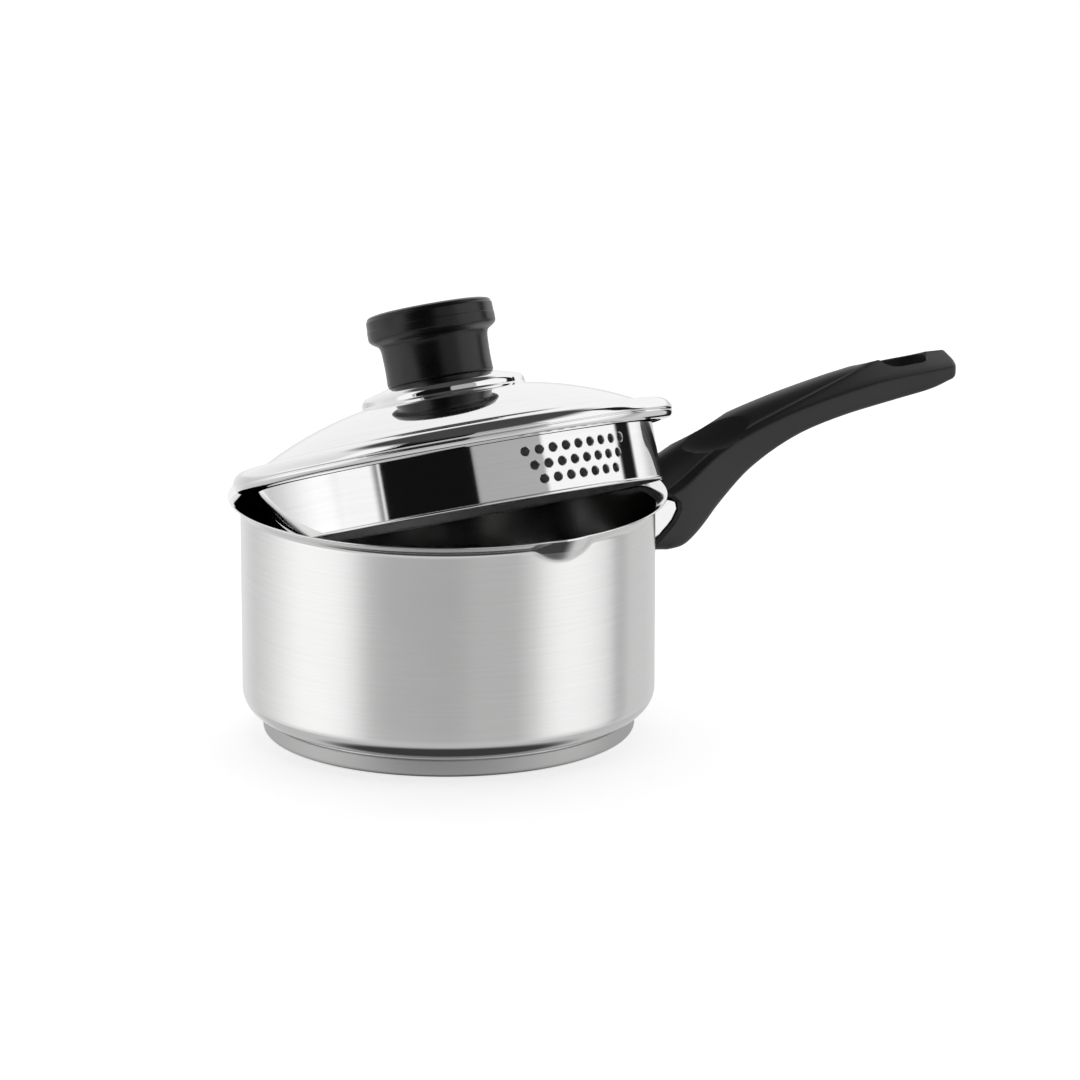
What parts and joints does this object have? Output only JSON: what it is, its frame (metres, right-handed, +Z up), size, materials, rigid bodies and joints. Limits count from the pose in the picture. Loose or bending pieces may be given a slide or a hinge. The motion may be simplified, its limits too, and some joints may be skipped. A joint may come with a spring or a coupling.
{
  "type": "saucepan with strainer lid",
  "caption": "Small steel saucepan with pouring spouts and a long moulded handle, its perforated steel strainer lid propped in the mouth.",
  "frame": {"origin": "centre of the flat underside of the base, on the pan's axis", "axes": "+Z up along the pan's axis, +X along the handle, the spouts on -Y and +Y"},
  "size_m": [0.3276, 0.1716, 0.171],
  "materials": {
    "pan_steel": "satin outside, fine lines round the wall",
    "core_aluminium": "plain",
    "base_steel": "satin, turned",
    "bracket_steel": "plain",
    "guard_steel": "polished",
    "handle_phenolic": "fine matt grain",
    "screw_steel": "plain",
    "lid_steel": "mirror polished stainless steel",
    "strainer_steel": "mirror polished stainless steel with faint drawn lines",
    "knob_phenolic": "fine matt grain",
    "insert_brass": "plain"
  },
  "bodies": {
    "pan": {"pan_body": "pan_steel", "base_core": "core_aluminium", "base_cap": "base_steel", "handle_bracket": "bracket_steel", "flame_guard": "guard_steel", "handle_grip": "handle_phenolic", "handle_screw": "screw_steel", "handle_washer": "screw_steel"},
    "lid_axle": {"knob_screw": "screw_steel", "knob_washer": "screw_steel"},
    "lid": {"lid_dome": "lid_steel", "strainer_ring": "strainer_steel", "knob": "knob_phenolic", "knob_insert": "insert_brass"}
  },
  "joints": [
    {"name": "lid_lift", "type": "slide", "parent": "pan", "child": "lid_axle", "axis": [0, 0, 1], "range_m": [0, 0.12]},
    {"name": "lid_turn", "type": "hinge", "parent": "lid_axle", "child": "lid", "pos_m": [0, -0.0052, 0.1073], "axis": [0, 0.3173, 0.9483], "continuous": true}
  ]
}
